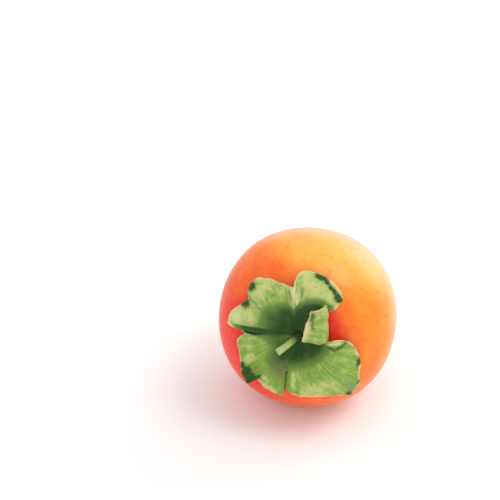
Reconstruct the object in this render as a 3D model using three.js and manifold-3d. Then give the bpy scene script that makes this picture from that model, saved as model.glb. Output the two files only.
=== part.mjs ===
// A ripe persimmon as picked, lying on its side with its calyx towards the front.
//
// Three pieces: the fruit, its leafy four-lobed calyx and the cut stump of its stem.
// Millimetres, +Z up. The origin is the middle of the small flat spot that the fruit lies on.
// The fruit's own axis runs from the blossom end, at the back, to the calyx, at the front (-Y),
// and the calyx end is raised by REST_TILT, as such a fruit comes to rest.
//
// Each piece is modelled about the fruit's own axis, which is z there: x is to the right and y up
// for someone who faces the calyx. Bearings are turned anticlockwise from x, in degrees.

import * as THREE from "three";
import Module from "manifold-3d";

const wasm = await Module();
wasm.setup();

// Fruit
const FRUIT_RADIUS = 38; // at its widest
const BLOSSOM_LENGTH = 43; // from the widest section back to the blossom end
const SHOULDER_LENGTH = 33; // from the widest section to the shoulder, before the hollow round the stem
const SHOULDER_POWER = 2.5; // how square the shoulder is: 2 would be round
const BLOSSOM_TAPER = 0.015; // how far the blossom end is drawn in towards a cone
const BLEND_HALF_WIDTH = 0.5; // cosine of the polar angle over which the two ends pass into each other
const HOLLOW_DEPTH = 8;
const HOLLOW_RADIUS = 10;
const HOLLOW_POWER = 3;
const SIDE_COUNT = 4; // a persimmon is slightly square in section
const SIDE_SWELL = 0.011;
const SIDE_BEARING = 45; // the corners stand at this bearing, so the fruit lies on a flatter side
const TIP_DIMPLE_DEPTH = 0.7;
const TIP_DIMPLE_RADIUS = 4;
const TIP_POINT_HEIGHT = 1.5; // the dried style that is left at the blossom end
const TIP_POINT_RADIUS = 1.1;

// How it lies
const REST_TILT = 16;
const REST_FLAT_DEPTH = 0.7; // how much of the belly the flat spot takes off

// Calyx
const CALYX_GAP = 0.5; // between the fruit's skin and the calyx
const DISC_RADIUS = 4.5; // flat middle that the stem grows from
const WALL_START = 7.5; // distance along the sheet at which the cup's wall has its full slope
const WALL_SLOPE = 42;
const SHEET_THICKNESS = 1.5; // at the middle
const MARGIN_THICKNESS = 0.8;
const SLOPE_ALLOWANCE = 0.2; // more height, so that the gap holds on the hollow's steep wall too
const CLEARANCE_EASE = 0.8; // how softly the sheet lifts where the skin would touch it
const RIPPLE_HEIGHT = 0.4;
const RIPPLE_COUNT = 17;

// The calyx's ribs, in order round the axis. Each starts out from the middle at a bearing, climbs the cup's wall
// for a length, then runs on for its reach, turned aside by its lean. The last four numbers are the sheet's slope
// at each quarter of the reach: above 90 degrees the sheet folds back over the cup.
const RIBS = [
  // bearing, wall, lean, reach, slopes
  // fold between the right-hand lobes, which hangs over the cup
  [3.5, 13, 25, 4, 70, 85, 95, 105],
  [6.5, 12.5, -9, 11.1, 60, 141, 164, 184],
  [11, 12.6, -9, 16.4, 76, 150, 179, 184],
  [24, 13.7, -29, 16, 70, 147, 181, 184],
  [40, 14.6, -45, 15.6, 45, 148, 177, 184],
  [54, 15.7, -55, 15.4, 14, 122, 177, 184],
  [65, 16, -52, 17.4, -16, 86, 185, 184],
  [71.5, 16.8, -47, 17.6, -18, 58, 188, 184],
  [73.5, 15, -50, 9, 0, 5, 10, 10],
  // upper right lobe
  [75, 13, -58, 11, 26, 6, 0, 0],
  [76.5, 13, -59, 13.8, 28, 4, -4, -4],
  [78, 13, -54, 17.3, 28, -4, -12, -12],
  [79.5, 13, -49, 20.1, 28, -8, -15, 20],
  [81, 13, -36, 19.9, 26, -14, -22, 0],
  [83, 13, -16, 19.5, 24, -18, -30, -30],
  [86, 13, -4, 19.8, 24, -16, -34, -45],
  [90, 13, 2, 18.5, 30, -8, -28, -38],
  [93.5, 13, 0, 15.5, 36, 4, -12, -20],
  // cleft at the top, pinched up into a ridge
  [96, 13, -4, 14.2, 52, 35, 5, -10],
  // upper left lobe
  [99, 13, 5, 12.6, 34, 0, -15, -20],
  [109, 13, 3, 14.6, 28, -10, -25, -32],
  [120, 13, 2, 18.5, 24, -16, -34, -45],
  [130, 13, 2, 21, 24, -18, -36, -55],
  [139, 13, 2, 19, 24, -12, -30, -55],
  [147, 13, -3, 15.5, 30, 0, -18, -40],
  [155, 13, -1, 17.1, 28, -6, -22, -35],
  [162, 13, 4, 18.7, 26, -8, -18, -20],
  [167.5, 13, 7, 18.9, 28, -4, -14, -18],
  [170.5, 13, 3, 16.6, 46, 24, 0, -20],
  // cleft at the left, a narrow valley
  [174, 13, 6, 13.2, 20, -14, -25, -30],
  // lower left lobe
  [178, 13, 3, 11.2, 38, 8, -10, -25],
  [186, 13, 4, 14.3, 28, -8, -22, -35],
  [198, 13, 6, 16, 24, -14, -34, -45],
  [210, 13, 5, 16.7, 22, -16, -30, -20],
  [218, 13, 6, 17.4, 22, -18, -10, 60],
  [223, 13, 8, 17.8, 22, -16, -10, 75],
  [227.5, 13, 9, 14.8, 22, -16, -18, 50],
  [233, 13, 1, 14.6, 24, -12, -26, -10],
  [243, 13, 5, 16, 28, -8, -26, -38],
  [252, 13, 10, 15.9, 34, 2, -18, -34],
  [256.5, 13, 13, 13.7, 40, 16, -5, -25],
  // cleft at the bottom
  [260, 13, -7, 5.2, 44, 30, 15, 0],
  // lower right lobe, the broadest
  [263.5, 13, 6, 12.5, 36, 10, -12, -25],
  [271, 13, 6, 14.7, 30, -4, -22, -35],
  [283, 13, 5, 15.8, 26, -10, -28, -40],
  [297, 13, 5, 18.3, 22, -14, -32, -42],
  [309, 13, 4, 21.2, 22, -14, -30, -36],
  [318, 13, 2, 22.4, 22, -14, -26, -15],
  [326, 13, 1, 22.4, 22, -14, -26, -20],
  [335, 13, 0, 20.2, 24, -14, -30, -40],
  [344, 13, 5, 17.9, 26, -10, -28, -35],
  [351, 13, 19, 13.8, 32, 0, -20, -10],
  [355.5, 13, 27, 12, 42, 18, 0, 45],
  [359.5, 13, 32, 9.2, 58, 52, 30, 55],
];

// Stem
const STEM_LENGTH = 13.5;
const STEM_FOOT_RADIUS = 2.2;
const STEM_RADIUS = 1.25;
const STEM_END_RADIUS = 1.5;
const STEM_BEARING = 214;
const STEM_LEAN_FOOT = 8;
const STEM_LEAN_END = 60;
const STEM_GAP = 0.35; // between the calyx's disc and the foot

// How finely each piece is faceted
const FRUIT_RINGS = 34;
const FRUIT_SEGMENTS = 56;
const CALYX_STEPS = 18; // from the middle to the margin
const SEGMENTS_PER_RIB = 2;
const STEM_STEPS = 8;
const STEM_SEGMENTS = 12;

const SHEET_BOTTOM = SHOULDER_LENGTH - HOLLOW_DEPTH + CALYX_GAP + SHEET_THICKNESS / 2;

const { degToRad, lerp, clamp } = THREE.MathUtils;
const ease = (t) => clamp(t, 0, 1) ** 2 * (3 - 2 * clamp(t, 0, 1));

/** The larger of a and b, rounded off where they meet. */
const softMax = (a, b, width) => (a + b + Math.hypot(a - b, width)) / 2;

/**
 * A closed mesh of rings, from one pole to the other. pointAt(ring, segment) gives each vertex. Quads from foldRing
 * on are split the other way, so that both faces of a thin sheet are split alike.
 */
function closedSurface(ringCount, segmentCount, pointAt, foldRing = Infinity) {
  const vertices = [...pointAt(0, 0)];
  for (let ring = 1; ring < ringCount; ring += 1) {
    for (let segment = 0; segment < segmentCount; segment += 1) {
      vertices.push(...pointAt(ring, segment));
    }
  }
  vertices.push(...pointAt(ringCount, 0));
  const lastPole = vertices.length / 3 - 1;
  const at = (ring, segment) => 1 + (ring - 1) * segmentCount + (segment % segmentCount);
  const faces = [];
  for (let segment = 0; segment < segmentCount; segment += 1) {
    faces.push(0, at(1, segment), at(1, segment + 1));
    faces.push(lastPole, at(ringCount - 1, segment + 1), at(ringCount - 1, segment));
  }
  for (let ring = 1; ring < ringCount - 1; ring += 1) {
    for (let segment = 0; segment < segmentCount; segment += 1) {
      const [a, b] = [at(ring, segment), at(ring + 1, segment)];
      const [c, d] = [at(ring + 1, segment + 1), at(ring, segment + 1)];
      faces.push(...(ring < foldRing ? [a, b, c, a, c, d] : [a, b, d, b, c, d]));
    }
  }
  const geometry = new THREE.BufferGeometry();
  geometry.setAttribute("position", new THREE.Float32BufferAttribute(vertices, 3));
  geometry.setIndex(faces);
  return geometry;
}

/** Distance from the middle of the widest section to the skin, at a polar angle from the calyx end. */
function skinDistance(polar) {
  const [across, along] = [Math.sin(polar), Math.cos(polar)];
  const cone = 1 - BLOSSOM_TAPER * Math.sin(2 * polar) ** 2;
  const blossom = cone / Math.hypot(across / FRUIT_RADIUS, along / BLOSSOM_LENGTH);
  const power = SHOULDER_POWER;
  const squareSum = (across / FRUIT_RADIUS) ** power + (Math.abs(along) / SHOULDER_LENGTH) ** power;
  const shoulder = squareSum ** (-1 / power);
  return lerp(blossom, shoulder, ease((along / BLEND_HALF_WIDTH + 1) / 2));
}

const hollowAt = (radius) => HOLLOW_DEPTH * Math.exp(-((radius / HOLLOW_RADIUS) ** HOLLOW_POWER));

/** Height of the shoulder's skin over the widest section, at a distance from the axis. */
function shoulderHeight(radius) {
  const power = SHOULDER_POWER;
  const fall = Math.max(0, 1 - (radius / FRUIT_RADIUS) ** power) ** (1 / power);
  return SHOULDER_LENGTH * fall - hollowAt(radius);
}

/** A point of the skin. */
function skinPoint(polar, turn) {
  const distance = skinDistance(polar);
  const corners = Math.cos(SIDE_COUNT * (turn - degToRad(SIDE_BEARING)));
  const radius = distance * Math.sin(polar) * (1 + SIDE_SWELL * corners * Math.sin(polar) ** 2);
  let height = distance * Math.cos(polar);
  if (height > 0) {
    height -= hollowAt(radius);
  } else {
    height += TIP_DIMPLE_DEPTH * Math.exp(-((radius / TIP_DIMPLE_RADIUS) ** 2));
    height -= TIP_POINT_HEIGHT * Math.exp(-((radius / TIP_POINT_RADIUS) ** 4));
  }
  return new THREE.Vector3(radius * Math.cos(turn), radius * Math.sin(turn), height);
}

/** The rings' polar angles: even over the skin, with a few more round the point at the blossom end. */
function fruitPolarAngles() {
  const pointRings = [1.9, 1.25, 0.95, 0.6].map((radius) => Math.PI - radius / BLOSSOM_LENGTH);
  const last = pointRings[0];
  const evenRings = Array.from({ length: FRUIT_RINGS }, (_, i) => (last * i) / FRUIT_RINGS);
  return [...evenRings, ...pointRings, Math.PI];
}

/** The curve's slope at a value between two changes: level at a high or low one, so that it never overshoots. */
const evenSlope = (before, after) => (before * after > 0 ? (2 * before * after) / (before + after) : 0);

/** A smooth curve through evenly spaced values, between the middle two of four. */
function passThrough(before, from, to, after, share) {
  const change = to - from;
  const leaving = evenSlope(from - before, change);
  const arriving = evenSlope(change, after - to);
  const pull = leaving - change + share * (2 * change - leaving - arriving);
  return from + share * (change + (1 - share) * pull);
}

/** The rib at a place in the list, which may lie between two ribs. */
function ribAt(place) {
  const first = Math.floor(place);
  const [before, from, to, after] = [-1, 0, 1, 2].map((step) => {
    const turns = Math.floor((first + step) / RIBS.length);
    const [bearing, ...rest] = RIBS[first + step - turns * RIBS.length];
    return [bearing + 360 * turns, ...rest];
  });
  return from.map((value, i) => passThrough(before[i], value, to[i], after[i], place - first));
}

/** Slope of the calyx's sheet, in degrees, at a distance along a rib. */
function sheetSlope(wall, reach, slopes, along) {
  if (along < wall) {
    return WALL_SLOPE * ease((along - DISC_RADIUS) / (WALL_START - DISC_RADIUS));
  }
  const stations = [WALL_SLOPE, ...slopes];
  const place = clamp((along - wall) / reach, 0, 1) * slopes.length;
  const station = Math.min(Math.floor(place), slopes.length - 1);
  return lerp(stations[station], stations[station + 1], place - station);
}

/** A point of the sheet halfway through its thickness. share runs from 0 at the middle to 1 at the margin. */
function sheetPoint(share, ribPlace) {
  const [bearing, wall, lean, reach, ...slopes] = ribAt(ribPlace);
  const outward = degToRad(bearing);
  const onward = degToRad(bearing + lean);
  const point = new THREE.Vector3(0, 0, SHEET_BOTTOM);
  const stepCount = 48;
  const step = (share * (wall + reach)) / stepCount;
  for (let i = 0; i < stepCount; i += 1) {
    const along = (i + 0.5) * step;
    const slope = degToRad(sheetSlope(wall, reach, slopes, along));
    const heading = along < wall ? outward : onward;
    point.x += step * Math.cos(slope) * Math.cos(heading);
    point.y += step * Math.cos(slope) * Math.sin(heading);
    point.z += step * Math.sin(slope);
  }
  point.z += RIPPLE_HEIGHT * Math.sin(RIPPLE_COUNT * outward) * Math.sin(3 * outward + 1) * share ** 3;
  const skin = shoulderHeight(Math.hypot(point.x, point.y));
  point.z = softMax(point.z, skin + CALYX_GAP + sheetHalfThickness(share) + SLOPE_ALLOWANCE, CLEARANCE_EASE);
  return point;
}

function sheetHalfThickness(share) {
  return lerp(SHEET_THICKNESS, MARGIN_THICKNESS, ease(share)) / 2;
}

/** The sheet's upward normal, from points close by. */
function sheetNormal(share, ribPlace) {
  const small = 1e-3;
  const along = sheetPoint(share + small, ribPlace).sub(sheetPoint(share - small, ribPlace));
  const around = sheetPoint(share, ribPlace + small).sub(sheetPoint(share, ribPlace - small));
  return along.cross(around).normalize();
}

function calyxGeometry() {
  const pointAt = (ring, segment) => {
    const share = ring <= CALYX_STEPS ? ring / CALYX_STEPS : (2 * CALYX_STEPS + 1 - ring) / CALYX_STEPS;
    const offset = (ring <= CALYX_STEPS ? 1 : -1) * sheetHalfThickness(share);
    if (share === 0) {
      return sheetPoint(0, 0).add(new THREE.Vector3(0, 0, offset));
    }
    const ribPlace = segment / SEGMENTS_PER_RIB;
    const normal = sheetNormal(Math.min(share, 1 - 2e-3), ribPlace);
    return sheetPoint(share, ribPlace).addScaledVector(normal, offset);
  };
  return closedSurface(2 * CALYX_STEPS + 1, RIBS.length * SEGMENTS_PER_RIB, pointAt, CALYX_STEPS + 1);
}

function stemGeometry() {
  const bearing = degToRad(STEM_BEARING);
  const aside = new THREE.Vector3(Math.cos(bearing), Math.sin(bearing), 0);
  const up = new THREE.Vector3(0, 0, 1);
  const across = new THREE.Vector3().crossVectors(up, aside);
  const foot = new THREE.Vector3(0, 0, sheetPoint(0, 0).z + SHEET_THICKNESS / 2 + STEM_GAP);
  const leanAt = (share) => degToRad(lerp(STEM_LEAN_FOOT, STEM_LEAN_END, share));
  const directionAt = (lean) =>
    new THREE.Vector3().addScaledVector(aside, Math.sin(lean)).addScaledVector(up, Math.cos(lean));
  const centres = [foot];
  for (let i = 0; i < STEM_STEPS; i += 1) {
    const step = directionAt(leanAt((i + 0.5) / STEM_STEPS)).multiplyScalar(STEM_LENGTH / STEM_STEPS);
    centres.push(centres[i].clone().add(step));
  }
  const radiusAt = (share) => {
    const flare = (STEM_FOOT_RADIUS - STEM_RADIUS) * Math.exp(-share * 8);
    const swell = (STEM_END_RADIUS - STEM_RADIUS) * ease((share - 0.6) / 0.4);
    return STEM_RADIUS + flare + swell;
  };
  const pointAt = (ring, segment) => {
    const turn = (2 * Math.PI * segment) / STEM_SEGMENTS;
    const step = clamp(STEM_STEPS + 1 - ring, 0, STEM_STEPS);
    const share = step / STEM_STEPS;
    if (ring === 0 || ring === STEM_STEPS + 2) {
      return centres[step].clone();
    }
    const lean = step === 0 ? 0 : leanAt(share);
    const side = directionAt(lean + Math.PI / 2);
    const radius = radiusAt(share);
    return centres[step]
      .clone()
      .addScaledVector(side, radius * Math.cos(turn))
      .addScaledVector(across, radius * Math.sin(turn));
  };
  return closedSurface(STEM_STEPS + 2, STEM_SEGMENTS, pointAt);
}

function fruitGeometry() {
  const polarAngles = fruitPolarAngles();
  const pointAt = (ring, segment) => skinPoint(polarAngles[ring], (2 * Math.PI * segment) / FRUIT_SEGMENTS);
  return closedSurface(polarAngles.length - 1, FRUIT_SEGMENTS, pointAt);
}

/** Where the flat spot falls when the fruit lies tilted: its middle along the ground, and its height. */
function restingSpot() {
  const tilt = degToRad(REST_TILT);
  const profile = Array.from({ length: 4001 }, (_, i) => skinPoint((Math.PI * i) / 4000, -Math.PI / 2));
  const lying = profile.map(({ y, z }) => ({
    forward: z * Math.cos(tilt) - y * Math.sin(tilt),
    height: y * Math.cos(tilt) + z * Math.sin(tilt),
  }));
  const height = Math.min(...lying.map((point) => point.height)) + REST_FLAT_DEPTH;
  const taken = lying.filter((point) => point.height < height).map((point) => point.forward);
  return { forward: (taken[0] + taken.at(-1)) / 2, height };
}

/** Takes one closed geometry off another. */
function subtract(geometry, cutter) {
  const solidOf = ({ attributes, index }) =>
    new wasm.Manifold(
      new wasm.Mesh({
        numProp: 3,
        vertProperties: Float32Array.from(attributes.position.array),
        triVerts: Uint32Array.from(index.array),
      }),
    );
  const { vertProperties, triVerts } = solidOf(geometry).subtract(solidOf(cutter)).getMesh();
  const cut = new THREE.BufferGeometry();
  cut.setAttribute("position", new THREE.BufferAttribute(vertProperties, 3));
  cut.setIndex(new THREE.BufferAttribute(triVerts, 1));
  return cut;
}

/** The ground under the fruit, as a slab in the fruit's own frame. */
function groundSlab(fruitFrame) {
  const reach = 2 * FRUIT_RADIUS;
  const corners = [-1, 1].flatMap((x) =>
    [-1, 1].flatMap((y) => [-1, 0].map((z) => new THREE.Vector3(x * reach, y * reach, z * FRUIT_RADIUS))),
  );
  const toFruit = fruitFrame.clone().invert();
  const slab = new THREE.BufferGeometry().setFromPoints(corners.map((p) => p.applyMatrix4(toFruit)));
  const sides = [
    [0, 1, 3, 2],
    [4, 6, 7, 5],
    [0, 4, 5, 1],
    [2, 3, 7, 6],
    [0, 2, 6, 4],
    [1, 5, 7, 3],
  ];
  slab.setIndex(sides.flatMap(([a, b, c, d]) => [a, b, c, a, c, d]));
  return slab;
}

const materials = {
  skin: new THREE.MeshStandardMaterial({ color: 0xf0702c, roughness: 0.35, metalness: 0 }),
  leaf: new THREE.MeshStandardMaterial({ color: 0x9cb45c, roughness: 0.7, metalness: 0 }),
  stem: new THREE.MeshStandardMaterial({ color: 0x86945a, roughness: 0.8, metalness: 0 }),
};

function namedMesh(name, geometry, material) {
  geometry.computeVertexNormals();
  const mesh = new THREE.Mesh(geometry, material);
  mesh.name = name;
  return mesh;
}

const spot = restingSpot();
const persimmon = new THREE.Group();
persimmon.rotation.x = Math.PI / 2 - degToRad(REST_TILT);
persimmon.position.set(0, spot.forward, -spot.height);
persimmon.updateMatrix();

persimmon.add(namedMesh("fruit", subtract(fruitGeometry(), groundSlab(persimmon.matrix)), materials.skin));
persimmon.add(namedMesh("calyx", calyxGeometry(), materials.leaf));
persimmon.add(namedMesh("stem", stemGeometry(), materials.stem));

const part = new THREE.Group();
part.add(persimmon);

export default part;
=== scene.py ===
"""A ripe persimmon lying on its side, with its leafy calyx and the cut stub of its stem.

Everything is in metres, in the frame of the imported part: the origin is the middle of the flat spot
that the fruit lies on, and the calyx faces -Y. Each piece is first shaped about the fruit's own
axis, with the calyx at +Z, and then laid down.
"""

import math

import bpy
import numpy as np
from bpy.props import FloatProperty, FloatVectorProperty, PointerProperty
from mathutils import Matrix, Vector


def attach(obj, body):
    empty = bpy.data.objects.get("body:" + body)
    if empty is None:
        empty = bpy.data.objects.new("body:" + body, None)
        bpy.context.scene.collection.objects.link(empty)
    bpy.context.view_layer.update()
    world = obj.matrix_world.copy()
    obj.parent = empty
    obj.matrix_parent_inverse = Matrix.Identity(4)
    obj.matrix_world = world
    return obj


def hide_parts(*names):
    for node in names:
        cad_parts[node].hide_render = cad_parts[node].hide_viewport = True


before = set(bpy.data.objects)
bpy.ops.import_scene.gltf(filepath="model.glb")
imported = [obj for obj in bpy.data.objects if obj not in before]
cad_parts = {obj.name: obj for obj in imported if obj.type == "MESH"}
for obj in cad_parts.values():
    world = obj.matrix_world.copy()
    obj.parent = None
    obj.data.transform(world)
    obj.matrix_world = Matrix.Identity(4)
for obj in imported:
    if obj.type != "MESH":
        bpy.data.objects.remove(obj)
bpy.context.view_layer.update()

bl_info = {
    "name": "Persimmon",
    "version": (1, 0, 0),
    "blender": (4, 5, 0),
    "location": "View3D > Sidebar > Persimmon",
    "description": "A ripe persimmon with its calyx and stem, on a pale studio floor",
    "category": "Add Mesh",
}

# The calyx's ribs, in order round the axis. Each starts out from the middle at a bearing, climbs
# the cup's wall for a length, then runs on for its reach, turned aside by its lean. The last four
# numbers are the sheet's slope at each quarter of the reach: above 90 the sheet folds back over the
# cup. Degrees and millimetres: bearing, wall, lean, reach, slopes.
RIBS = np.array(
    [
        # fold between the right-hand lobes, which hangs over the cup
        [3.5, 13, 25, 4, 70, 85, 95, 105],
        [6.5, 12.5, -9, 11.1, 60, 141, 164, 184],
        [11, 12.6, -9, 16.4, 76, 150, 179, 184],
        [24, 13.7, -29, 16, 70, 147, 181, 184],
        [40, 14.6, -45, 15.6, 45, 148, 177, 184],
        [54, 15.7, -55, 15.4, 14, 122, 177, 184],
        [65, 16, -52, 17.4, -16, 86, 185, 184],
        [71.5, 16.8, -47, 17.6, -18, 58, 188, 184],
        [73.5, 15, -50, 9, 0, 5, 10, 10],
        # upper right lobe
        [75, 13, -58, 11, 26, 6, 0, 0],
        [76.5, 13, -59, 13.8, 28, 4, -4, -4],
        [78, 13, -54, 17.3, 28, -4, -12, -12],
        [79.5, 13, -49, 20.1, 28, -8, -15, 20],
        [81, 13, -36, 19.9, 26, -14, -22, 0],
        [83, 13, -16, 19.5, 24, -18, -30, -30],
        [86, 13, -4, 19.8, 24, -16, -34, -45],
        [90, 13, 2, 18.5, 30, -8, -28, -38],
        [93.5, 13, 0, 15.5, 36, 4, -12, -20],
        # cleft at the top, pinched up into a ridge
        [96, 13, -4, 14.2, 52, 35, 5, -10],
        # upper left lobe
        [99, 13, 5, 12.6, 34, 0, -15, -20],
        [109, 13, 3, 14.6, 28, -10, -25, -32],
        [120, 13, 2, 18.5, 24, -16, -34, -45],
        [130, 13, 2, 21, 24, -18, -36, -55],
        [139, 13, 2, 19, 24, -12, -30, -55],
        [147, 13, -3, 15.5, 30, 0, -18, -40],
        [155, 13, -1, 17.1, 28, -6, -22, -35],
        [162, 13, 4, 18.7, 26, -8, -18, -20],
        [167.5, 13, 7, 18.9, 28, -4, -14, -18],
        [170.5, 13, 3, 16.6, 46, 24, 0, -20],
        # cleft at the left, a narrow valley
        [174, 13, 6, 13.2, 20, -14, -25, -30],
        # lower left lobe
        [178, 13, 3, 11.2, 38, 8, -10, -25],
        [186, 13, 4, 14.3, 28, -8, -22, -35],
        [198, 13, 6, 16, 24, -14, -34, -45],
        [210, 13, 5, 16.7, 22, -16, -30, -20],
        [218, 13, 6, 17.4, 22, -18, -10, 60],
        [223, 13, 8, 17.8, 22, -16, -10, 75],
        [227.5, 13, 9, 14.8, 22, -16, -18, 50],
        [233, 13, 1, 14.6, 24, -12, -26, -10],
        [243, 13, 5, 16, 28, -8, -26, -38],
        [252, 13, 10, 15.9, 34, 2, -18, -34],
        [256.5, 13, 13, 13.7, 40, 16, -5, -25],
        # cleft at the bottom
        [260, 13, -7, 5.2, 44, 30, 15, 0],
        # lower right lobe, the broadest
        [263.5, 13, 6, 12.5, 36, 10, -12, -25],
        [271, 13, 6, 14.7, 30, -4, -22, -35],
        [283, 13, 5, 15.8, 26, -10, -28, -40],
        [297, 13, 5, 18.3, 22, -14, -32, -42],
        [309, 13, 4, 21.2, 22, -14, -30, -36],
        [318, 13, 2, 22.4, 22, -14, -26, -15],
        [326, 13, 1, 22.4, 22, -14, -26, -20],
        [335, 13, 0, 20.2, 24, -14, -30, -40],
        [344, 13, 5, 17.9, 26, -10, -28, -35],
        [351, 13, 19, 13.8, 32, 0, -20, -10],
        [355.5, 13, 27, 12, 42, 18, 0, 45],
        [359.5, 13, 32, 9.2, 58, 52, 30, 55],
    ]
)
QUARTERS = 4  # of a rib's reach, with a slope for each
COLUMNS_PER_RIB = 9  # columns of the calyx's mesh from one rib to the next
STEPS_TO_MARGIN = 72  # steps of the calyx's mesh from the middle to the margin
FLOW_LENGTH = 30  # millimetres outwards that count as 1 in the calyx's flow coordinates
RELIEF_START, RELIEF_RISE = 12, 6  # millimetres out where folds and veins begin, and their rise
RELIEF_FADE = 0.1  # last share of a rib, over which they fade towards the margin
FOLD_COUNT, VEIN_COUNT = 29, 74  # folds and veins in a full turn
CUP_FADE, CUP_FADE_LEAD = 10, 7  # millimetres over which the cup's dark fades, and how early
RIM_START, RIM_FADE = 0.2, 0.9  # millimetres of full dried margin, and those over which it fades

MM = 0.001
INSET = 0.9985  # keeps the finished skin just inside the plain solid's box
FLOOR_EDGE = 0.3 * MM  # how softly the skin turns into the flat spot
DIMPLE_DEPTH, DIMPLE_RADIUS = 0.7 * MM, 4 * MM  # round the dried point
TIP_CROWDING, TIP_ANGLE = 0.72, 0.35  # how closely, and over how many radians, the rings crowd
SHEET_CLEARANCE = 0.2 * MM  # between the skin and the calyx's underside, beside its gap
SHEET_ROUNDING = 0.8 * MM  # how softly the calyx is lifted off the skin
STEM_CLEARANCE = 0.05 * MM  # between the calyx and the stem's foot
MERGE_DISTANCE = 0.001 * MM
PICTURE_WIDTH = 500  # pixels, and its height too
SENSOR_WIDTH = 36  # millimetres
# The lamps: name, place and width in metres. Their powers are settings of the stage.
LAMPS = (
    ("key", (0.55, -0.08, 0.95), 0.5),
    ("fill", (-0.3, -0.8, 0.4), 0.6),
    ("rim", (0.55, 0.75, 0.4), 0.7),
)


def paint(red, green, blue):
    """The linear colour for red, green and blue as a picture editor gives them, 0 to 255."""
    return tuple(
        value / 255 / 12.92 if value <= 10 else ((value / 255 + 0.055) / 1.055) ** 2.4
        for value in (red, green, blue)
    )


def length(name, description, default):
    return FloatProperty(name=name, description=description, default=default, min=0, unit="LENGTH")


def angle(name, description, degrees):
    return FloatProperty(
        name=name, description=description, default=math.radians(degrees), unit="ROTATION"
    )


def number(name, description, default):
    return FloatProperty(name=name, description=description, default=default)


def wattage(name, description, default):
    return FloatProperty(name=name, description=description, default=default, unit="POWER")


def colour(name, description, default):
    return FloatVectorProperty(
        name=name, description=description, default=default, subtype="COLOR", min=0, max=1
    )


class PersimmonFruitSettings(bpy.types.PropertyGroup):
    """Sizes and colours of the fruit."""

    radius: length("Radius", "Half the fruit's width at its widest section", 38 * MM)
    blossom_length: length("Blossom length", "From the widest section to the blossom end", 43 * MM)
    shoulder_length: length("Shoulder length", "From the widest section to the shoulder", 33 * MM)
    shoulder_power: number("Shoulder power", "How square the shoulder is; 2 is round", 2.5)
    blossom_taper: number("Blossom taper", "How far the blossom end is drawn in to a cone", 0.015)
    blend: number("Blend", "Cosine over which the two ends pass into each other", 0.5)
    hollow_depth: length("Hollow depth", "Depth of the hollow under the calyx", 8 * MM)
    hollow_radius: length("Hollow radius", "Radius of the hollow under the calyx", 10 * MM)
    side_swell: number("Side swell", "How far the four rounded corners stand out", 0.011)
    point_height: length("Point height", "Height of the dried point at the blossom end", 1.5 * MM)
    point_radius: length("Point radius", "Radius of the dried point", 1.1 * MM)
    rest_tilt: angle("Resting tilt", "How far the calyx end is raised as the fruit lies", 16)
    flat_depth: length("Flat depth", "How much of the belly the resting spot takes off", 0.7 * MM)
    orange: colour("Orange", "Main colour of the skin", paint(248, 112, 28))
    # The yellower orange is the skin's own tone in its mottling, and painted light on the upper
    # right.
    amber_and_light: colour("Amber", "Skin on the side that ripened in the light", paint(247, 144, 20))
    # The pale waxy colour is paler tone in the fine mottling, and painted highlight on top.
    bloom_and_highlight: colour("Bloom", "Pale waxy bloom on the upper side", paint(252, 190, 84))
    # Painted reflection of the bright surroundings, near the outline on the upper right.
    painted_rim_reflection: colour("Frost", "Paler bloom on the upper shoulder", paint(255, 208, 184))
    # The red is the skin's own colour in its mottling, and painted shade on the lower left and round
    # the calyx.
    blush_and_shade: colour("Blush", "Red blush round the calyx and on the shaded side", paint(240, 32, 10))
    speck: colour("Speck", "Small scars in the skin", paint(150, 62, 26))
    point: colour("Point", "Dried point at the blossom end", paint(52, 34, 22))


class PersimmonCalyxSettings(bpy.types.PropertyGroup):
    """Sizes and colours of the calyx."""

    gap: length("Gap", "Clearance between the skin and the calyx", 0.5 * MM)
    disc_radius: length("Disc radius", "Flat middle that the stem grows from", 4.5 * MM)
    wall_start: length("Wall start", "Distance out at which the cup's wall is steepest", 7.5 * MM)
    wall_slope: angle("Wall slope", "Slope of the cup's wall", 42)
    thickness: length("Thickness", "Thickness at the middle", 1.5 * MM)
    margin_thickness: length("Margin thickness", "Thickness at the margin", 0.45 * MM)
    ripple: length("Ripple", "Height of the waves along the margin", 0.4 * MM)
    raggedness: length("Raggedness", "Depth of the nicks in the margin", 1.1 * MM)
    pucker: length("Pucker", "Height of the folds between the veins", 0.35 * MM)
    vein: length("Vein", "Height of the veins", 0.16 * MM)
    pale: colour("Pale green", "Lobes in full light", paint(184, 198, 116))
    green: colour("Green", "Fresher green between the veins", paint(118, 158, 48))
    straw: colour("Straw", "Yellowed patches", paint(208, 196, 132))
    fresh: colour("Fresh green", "Small fresher patches", paint(98, 142, 62))
    # Wall green and deep green are painted shade: in the cup, and deep green in the creases too.
    wall: colour("Wall green", "Shaded wall of the cup", paint(96, 132, 56))
    deep: colour("Deep green", "Depth of the cup", paint(44, 84, 32))
    dry: colour("Dry", "Dried margin", paint(230, 194, 154))
    cream: colour("Cream", "Palest ridges and strips", paint(224, 224, 168))
    grey: colour("Grey", "Dried-out tips", paint(126, 152, 104))
    russet: colour("Russet", "Brown patches", paint(110, 108, 64))
    # Dark green for shrivelled tips and for painted shadow on the calyx.
    dark_withered_and_shadow: colour("Brown", "Withered patches", paint(34, 78, 16))


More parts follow.
